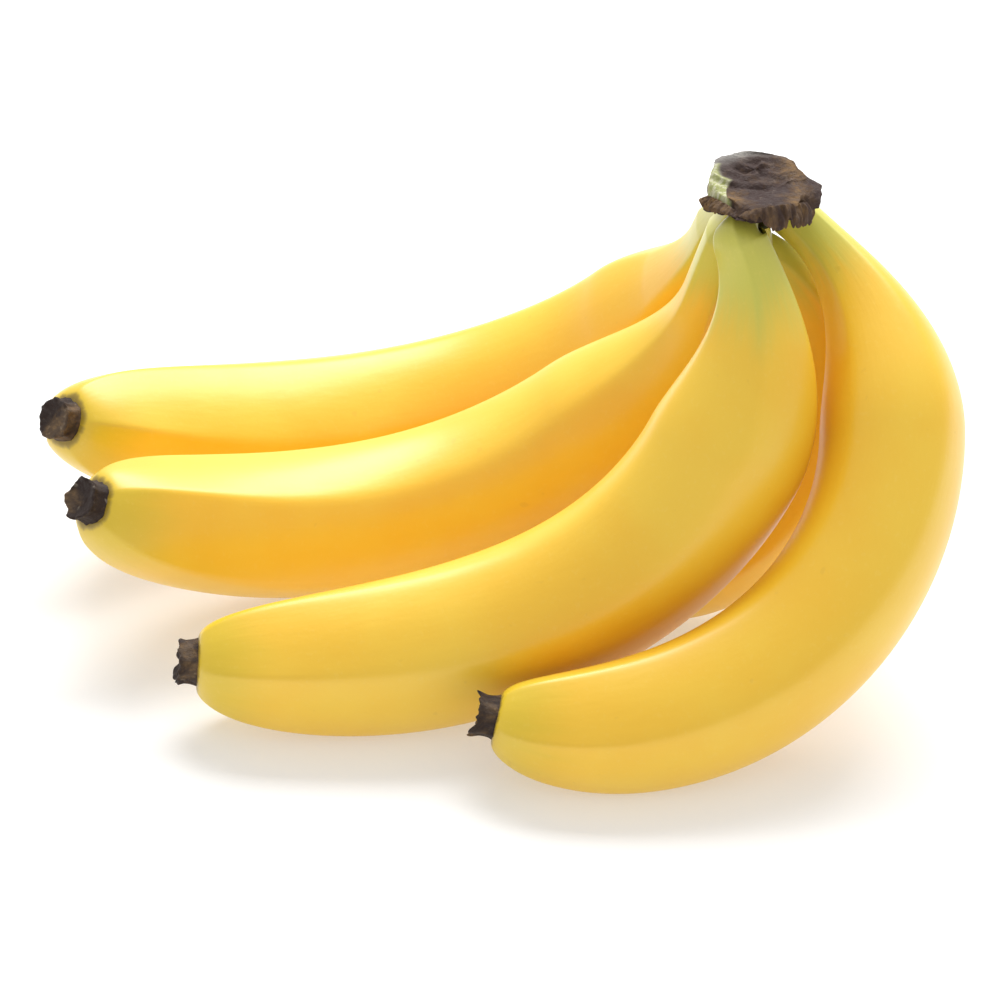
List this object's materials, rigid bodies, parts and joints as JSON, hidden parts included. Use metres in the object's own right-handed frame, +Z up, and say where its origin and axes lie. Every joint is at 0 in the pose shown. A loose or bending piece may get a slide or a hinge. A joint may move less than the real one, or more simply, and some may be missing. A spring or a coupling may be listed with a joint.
{
  "type": "bunch of bananas",
  "caption": "Bunch of ripe yellow bananas joined at a dark dried crown, lying on their curved backs with green necks and dried blossom ends.",
  "frame": {"origin": "on the table, under the middle of the box of the whole bunch", "axes": "+Z up; +X from the blossom ends towards the crown; +Y towards the back of the bunch, away from the foremost banana"},
  "size_m": [0.2089, 0.1607, 0.1169],
  "materials": {
    "peel": "smooth waxy satin peel, green at the necks",
    "stalk": "rough, dry and fibrous"
  },
  "bodies": {
    "root": {"crown": "stalk", "banana_1": "peel", "banana_2": "peel", "banana_3": "peel", "banana_4": "peel", "banana_5": "peel"}
  },
  "joints": []
}
